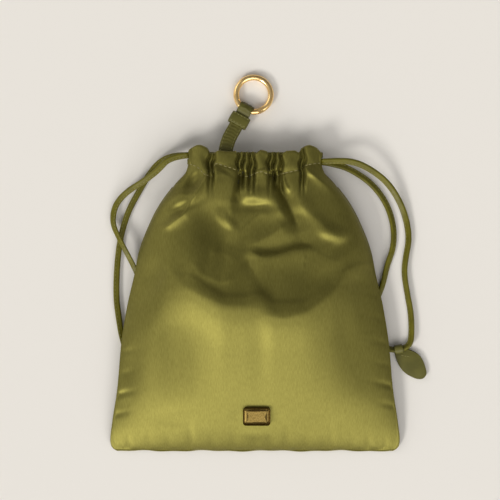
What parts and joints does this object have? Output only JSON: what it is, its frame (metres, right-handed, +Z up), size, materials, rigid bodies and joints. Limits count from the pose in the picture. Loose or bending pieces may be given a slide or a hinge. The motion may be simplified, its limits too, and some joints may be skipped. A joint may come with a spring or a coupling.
{
  "type": "drawstring gift sack",
  "caption": "Satin drawstring gift sack lying on its back, with leather drawcords and leaf pull tabs, and a leather hang strap ending in a hinged metal ring.",
  "frame": {"origin": "on the table, under the middle of the sack with its strap and ring, cords left out", "axes": "+X across the sack, +Y from the hem to the mouth and ring, +Z up from the table out of the front face"},
  "size_m": [0.219, 0.2604, 0.0381],
  "materials": {
    "satin": "olive satin with a soft directional sheen",
    "lining": "matt olive lining cloth",
    "thread": "olive-brown sewing thread",
    "leather": "smooth olive leather with dyed edges",
    "cord_leather": "olive leather folded and edge stitched",
    "gold": "polished warm gold plating"
  },
  "bodies": {
    "bag": {"front_panel": "satin", "back_panel": "satin", "front_lining": "lining", "back_lining": "lining", "front_casing": "satin", "back_casing": "satin", "front_casing_stitch": "thread", "back_casing_stitch": "thread", "side_seam_thread_left": "thread", "side_seam_thread_right": "thread", "bottom_seam_thread": "thread", "drawcord_right_loop": "cord_leather", "drawcord_left_loop": "cord_leather", "drawcord_right_inner": "cord_leather", "drawcord_left_inner": "cord_leather", "strap_root": "leather", "emblem_plate": "gold"},
    "strap": {"strap": "leather", "strap_stitch": "thread"},
    "keeper": {"keeper": "leather", "keeper_stitch": "thread"},
    "ring": {"ring_base": "gold", "ring_pin": "gold"},
    "bow": {"ring_bow": "gold"},
    "tab_right": {"pull_tab_right": "leather", "pull_tab_right_stitch": "thread"},
    "tab_left": {"pull_tab_left": "leather", "pull_tab_left_stitch": "thread"}
  },
  "joints": [
    {"name": "strap_lift", "type": "hinge", "parent": "bag", "child": "strap", "pos_m": [-0.02, 0.07855, 0.0128], "axis": [0.9781, -0.2079, 0], "range_deg": [0, 90]},
    {"name": "keeper_slide", "type": "slide", "parent": "strap", "child": "keeper", "axis": [-0.4714, -0.8505, 0.2334], "range_m": [0, 0.008]},
    {"name": "ring_swing", "type": "hinge", "parent": "strap", "child": "ring", "pos_m": [-0.0066, 0.10625, 0.0038], "axis": [0.8746, -0.4848, 0], "range_deg": [-60, 115]},
    {"name": "ring_open", "type": "hinge", "parent": "ring", "child": "bow", "pos_m": [0.00384, 0.10532, 0.00351], "axis": [-0.033, -0.0595, -0.9977], "range_deg": [0, 45]},
    {"name": "tab_right_swing", "type": "hinge", "parent": "bag", "child": "tab_right", "pos_m": [0.09941, -0.06017, 0.0033], "axis": [-0.9853, -0.1708, 0], "range_deg": [0, 110]},
    {"name": "tab_left_swing", "type": "hinge", "parent": "bag", "child": "tab_left", "pos_m": [-0.08246, -0.06606, 0.0033], "axis": [-0.9408, 0.339, 0], "range_deg": [0, 4]}
  ]
}
